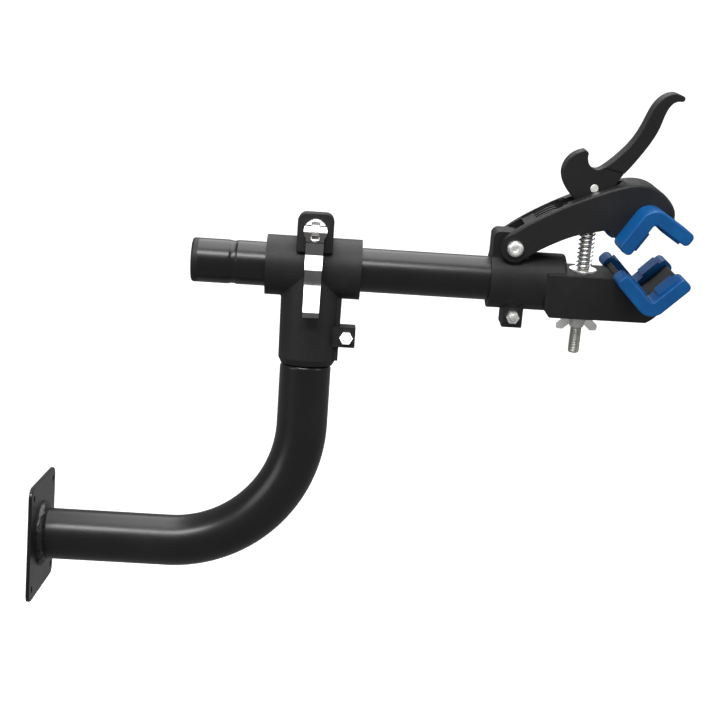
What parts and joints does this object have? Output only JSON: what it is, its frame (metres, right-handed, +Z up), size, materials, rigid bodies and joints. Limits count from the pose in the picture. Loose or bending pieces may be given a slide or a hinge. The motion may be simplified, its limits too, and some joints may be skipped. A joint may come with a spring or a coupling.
{
  "type": "wall-mounted bicycle repair clamp",
  "caption": "Wall plate and bent tube carry a swivelling, sliding tube with a hinged V-jaw clamp that grips a bicycle tube between rubber pads, closed by a cam lever.",
  "frame": {"origin": "centre of the wall plate's back face, on the wall", "axes": "+X points out from the wall along the arm, +Z is up, -Y is the side with the quick-release lever"},
  "size_m": [0.545, 0.1094, 0.4675],
  "materials": {
    "black_paint": "semi-gloss",
    "black_plastic": "fine texture",
    "chrome": "polished",
    "zinc_steel": "zinc plated",
    "spring_steel": "bright",
    "blue_rubber": "satin"
  },
  "bodies": {
    "base": {"wall_plate": "black_paint", "plate_weld": "black_paint", "bent_tube": "black_paint"},
    "bracket": {"tee_bracket": "black_plastic", "tee_pinch_bolt": "zinc_steel", "tee_pinch_nut": "zinc_steel", "qr_cup_washer": "chrome", "qr_skewer": "zinc_steel", "qr_barrel_pin": "zinc_steel"},
    "qr_handle": {"qr_lever": "chrome"},
    "qr_nut": {"qr_adjuster_nut": "zinc_steel"},
    "arm_tube": {"clamp_tube": "black_paint", "tube_end_cap": "black_plastic"},
    "head": {"lower_jaw": "black_plastic", "head_pinch_bolt": "zinc_steel", "head_pinch_nut": "zinc_steel", "jaw_pivot_bolt": "zinc_steel", "jaw_pivot_nut": "zinc_steel", "lower_pad_near": "blue_rubber", "lower_pad_far": "blue_rubber", "spring_washer": "zinc_steel", "lower_washer": "zinc_steel", "jaw_spring": "spring_steel", "spindle_rod": "zinc_steel", "cam_pin": "zinc_steel"},
    "jaw": {"upper_jaw": "black_plastic", "upper_pad_near": "blue_rubber", "upper_pad_far": "blue_rubber"},
    "lever": {"cam_lever": "black_plastic"},
    "nut": {"wing_nut": "zinc_steel"}
  },
  "joints": [
    {"name": "arm_swivel", "type": "hinge", "parent": "base", "child": "bracket", "pos_m": [0.226, 0, 0.2], "axis": [0, 0, 1], "range_deg": [-90, 90]},
    {"name": "tube_slide", "type": "slide", "parent": "bracket", "child": "arm_tube", "axis": [1, 0, 0], "range_m": [-0.1, 0.055]},
    {"name": "head_roll", "type": "hinge", "parent": "arm_tube", "child": "head", "pos_m": [0.402, 0, 0.25], "axis": [1, 0, 0], "continuous": true},
    {"name": "qr_swing", "type": "hinge", "parent": "bracket", "child": "qr_handle", "pos_m": [0.228, -0.0385, 0.2825], "axis": [-1, 0, 0], "range_deg": [0, 150]},
    {"name": "qr_nut_spin", "type": "hinge", "parent": "bracket", "child": "qr_nut", "pos_m": [0.228, 0.031, 0.2825], "axis": [0, 1, 0], "continuous": true},
    {"name": "lever_swing", "type": "hinge", "parent": "head", "child": "lever", "pos_m": [0.4615, -0.01481, 0.334], "axis": [0, -0.9848, -0.1736], "range_deg": [0, 90]},
    {"name": "jaw_close", "type": "hinge", "parent": "head", "child": "jaw", "pos_m": [0.398, -0.00556, 0.28151], "axis": [0, -0.9848, -0.1736], "range_deg": [-9, 0], "deforming": ["jaw_spring"]},
    {"name": "wing_nut_spin", "type": "hinge", "parent": "head", "child": "nut", "pos_m": [0.4615, 0.00573, 0.2175], "axis": [0, -0.1736, 0.9848], "continuous": true}
  ],
  "couplings": [
    {"joint": "jaw_close", "follows": "lever_swing", "ratio": -0.1}
  ]
}
